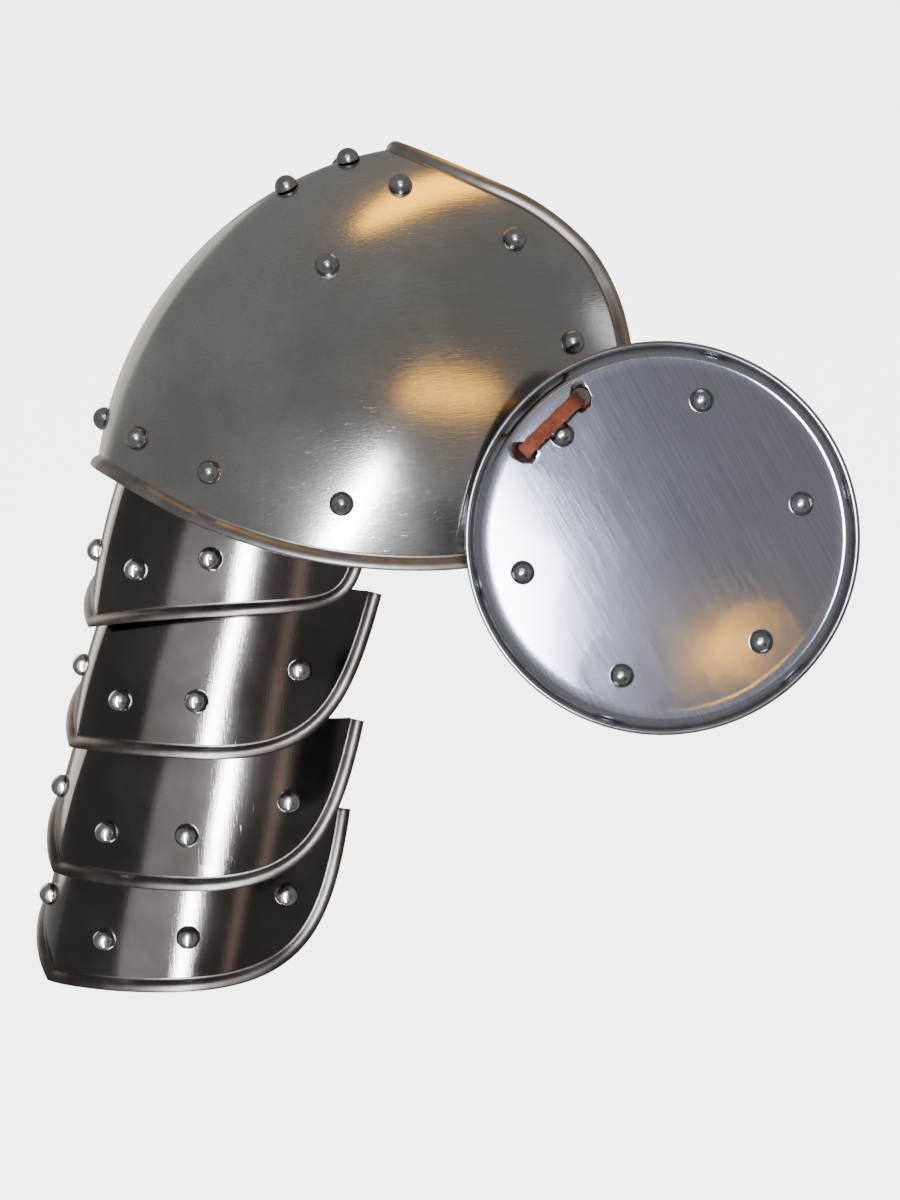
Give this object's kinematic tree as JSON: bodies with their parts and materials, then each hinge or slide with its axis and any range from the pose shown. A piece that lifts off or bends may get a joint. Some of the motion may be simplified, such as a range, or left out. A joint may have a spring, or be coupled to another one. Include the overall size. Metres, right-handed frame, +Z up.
{
  "type": "pauldron",
  "caption": "Right shoulder armour of keeled steel plates: a domed main plate, overlapping arm lames below it and a round disc hung on a leather lace before the armpit.",
  "frame": {"origin": "inner face of the main plate's keel where it bears on the top of the shoulder", "axes": "+Z up, -X out along the keel towards the arm, +X towards the neck, -Y to the wearer's front"},
  "size_m": [0.2639, 0.2555, 0.3162],
  "materials": {
    "plate_steel": "satin, finely brushed",
    "disc_steel": "satin, finely brushed",
    "rivet_steel": "polished",
    "lace_leather": "suede",
    "strap_leather": "matt"
  },
  "bodies": {
    "root": {"besagew_disc": "disc_steel", "besagew_lace": "lace_leather", "lame_1": "plate_steel", "lame_2": "plate_steel", "lame_3": "plate_steel", "lame_4": "plate_steel", "leather_1_back": "strap_leather", "leather_1_front": "strap_leather", "leather_2_back": "strap_leather", "leather_2_front": "strap_leather", "leather_3_back": "strap_leather", "leather_3_front": "strap_leather", "main_plate": "plate_steel", "rivet_arm_1_back": "rivet_steel", "rivet_arm_1_front": "rivet_steel", "rivet_arm_2_back": "rivet_steel", "rivet_arm_2_front": "rivet_steel", "rivet_arm_3_back": "rivet_steel", "rivet_arm_3_front": "rivet_steel", "rivet_crown_0": "rivet_steel", "rivet_crown_1_back": "rivet_steel", "rivet_crown_1_front": "rivet_steel", "rivet_disc_1": "rivet_steel", "rivet_disc_2": "rivet_steel", "rivet_disc_3": "rivet_steel", "rivet_disc_4": "rivet_steel", "rivet_disc_5": "rivet_steel", "rivet_disc_6": "rivet_steel", "rivet_lame_1_1_back": "rivet_steel", "rivet_lame_1_1_front": "rivet_steel", "rivet_lame_1_2_back": "rivet_steel", "rivet_lame_1_2_front": "rivet_steel", "rivet_lame_2_1_back": "rivet_steel", "rivet_lame_2_1_front": "rivet_steel", "rivet_lame_2_2_back": "rivet_steel", "rivet_lame_2_2_front": "rivet_steel", "rivet_lame_2_3_back": "rivet_steel", "rivet_lame_2_3_front": "rivet_steel", "rivet_lame_3_1_back": "rivet_steel", "rivet_lame_3_1_front": "rivet_steel", "rivet_lame_3_2_back": "rivet_steel", "rivet_lame_3_2_front": "rivet_steel", "rivet_lame_3_3_back": "rivet_steel", "rivet_lame_3_3_front": "rivet_steel", "rivet_lame_4_1_back": "rivet_steel", "rivet_lame_4_1_front": "rivet_steel", "rivet_lame_4_2_back": "rivet_steel", "rivet_lame_4_2_front": "rivet_steel", "rivet_lame_4_3_back": "rivet_steel", "rivet_lame_4_3_front": "rivet_steel", "rivet_neck_0": "rivet_steel", "rivet_neck_1_back": "rivet_steel", "rivet_neck_1_front": "rivet_steel", "rivet_neck_2_back": "rivet_steel", "rivet_neck_2_front": "rivet_steel", "rivet_neck_3_back": "rivet_steel", "rivet_neck_3_front": "rivet_steel"}
  },
  "joints": []
}
